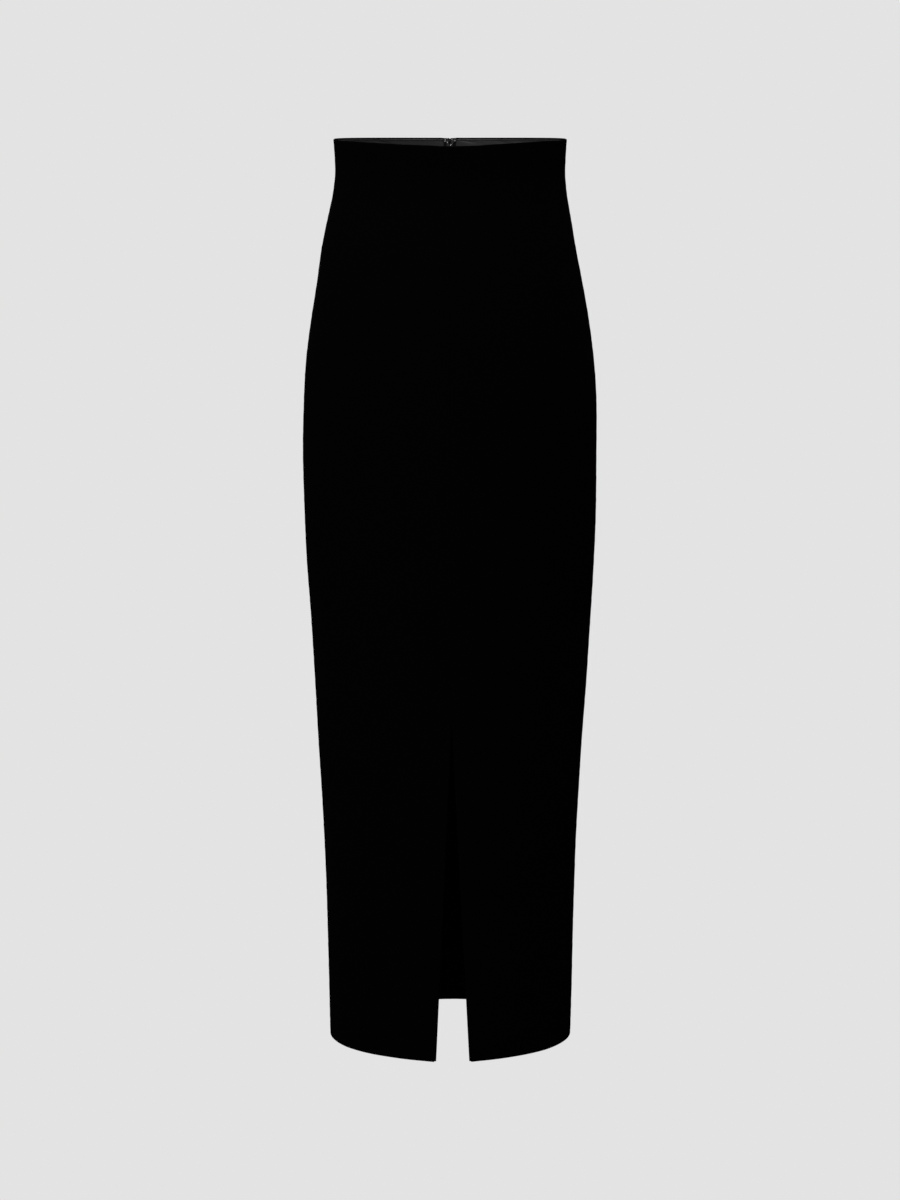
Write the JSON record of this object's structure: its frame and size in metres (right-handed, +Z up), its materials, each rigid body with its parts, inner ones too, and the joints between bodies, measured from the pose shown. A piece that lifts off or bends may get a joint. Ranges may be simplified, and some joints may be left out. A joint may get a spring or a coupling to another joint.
{
  "type": "pencil skirt",
  "caption": "High-waisted pencil skirt of floor length in its worn form, plain matte cloth, open front slit from knee to hem and a centre back zip with a hanging pull tab.",
  "frame": {"origin": "middle of the waist, on the narrowest ring, 34 mm below the top edge at the side seams, where a wearer holds the skirt up", "axes": "+Z up towards the top edge, front of the skirt towards -Y, wearer's left towards +X; the side seams lie on the XZ plane"},
  "size_m": [0.3211, 0.2414, 0.9999],
  "materials": {
    "black_crepe": "matte",
    "charcoal_satin": "satin",
    "zip_tape": "matte",
    "zip_nylon": "satin",
    "black_nickel": "gloss"
  },
  "bodies": {
    "skirt": {"front_left": "black_crepe", "front_right": "black_crepe", "back_left": "black_crepe", "back_right": "black_crepe", "facing_front": "charcoal_satin", "facing_back_left": "charcoal_satin", "facing_back_right": "charcoal_satin", "zip_tape_left": "zip_tape", "zip_tape_right": "zip_tape", "zip_chain": "zip_nylon", "zip_slider": "black_nickel", "zip_stop": "black_nickel"},
    "pull_tab": {"zip_pull": "black_nickel"}
  },
  "joints": [
    {"name": "pull_hinge", "type": "hinge", "parent": "skirt", "child": "pull_tab", "pos_m": [0, 0.08799, 0.02419], "axis": [1, 0, 0], "range_deg": [-8, 150]}
  ]
}
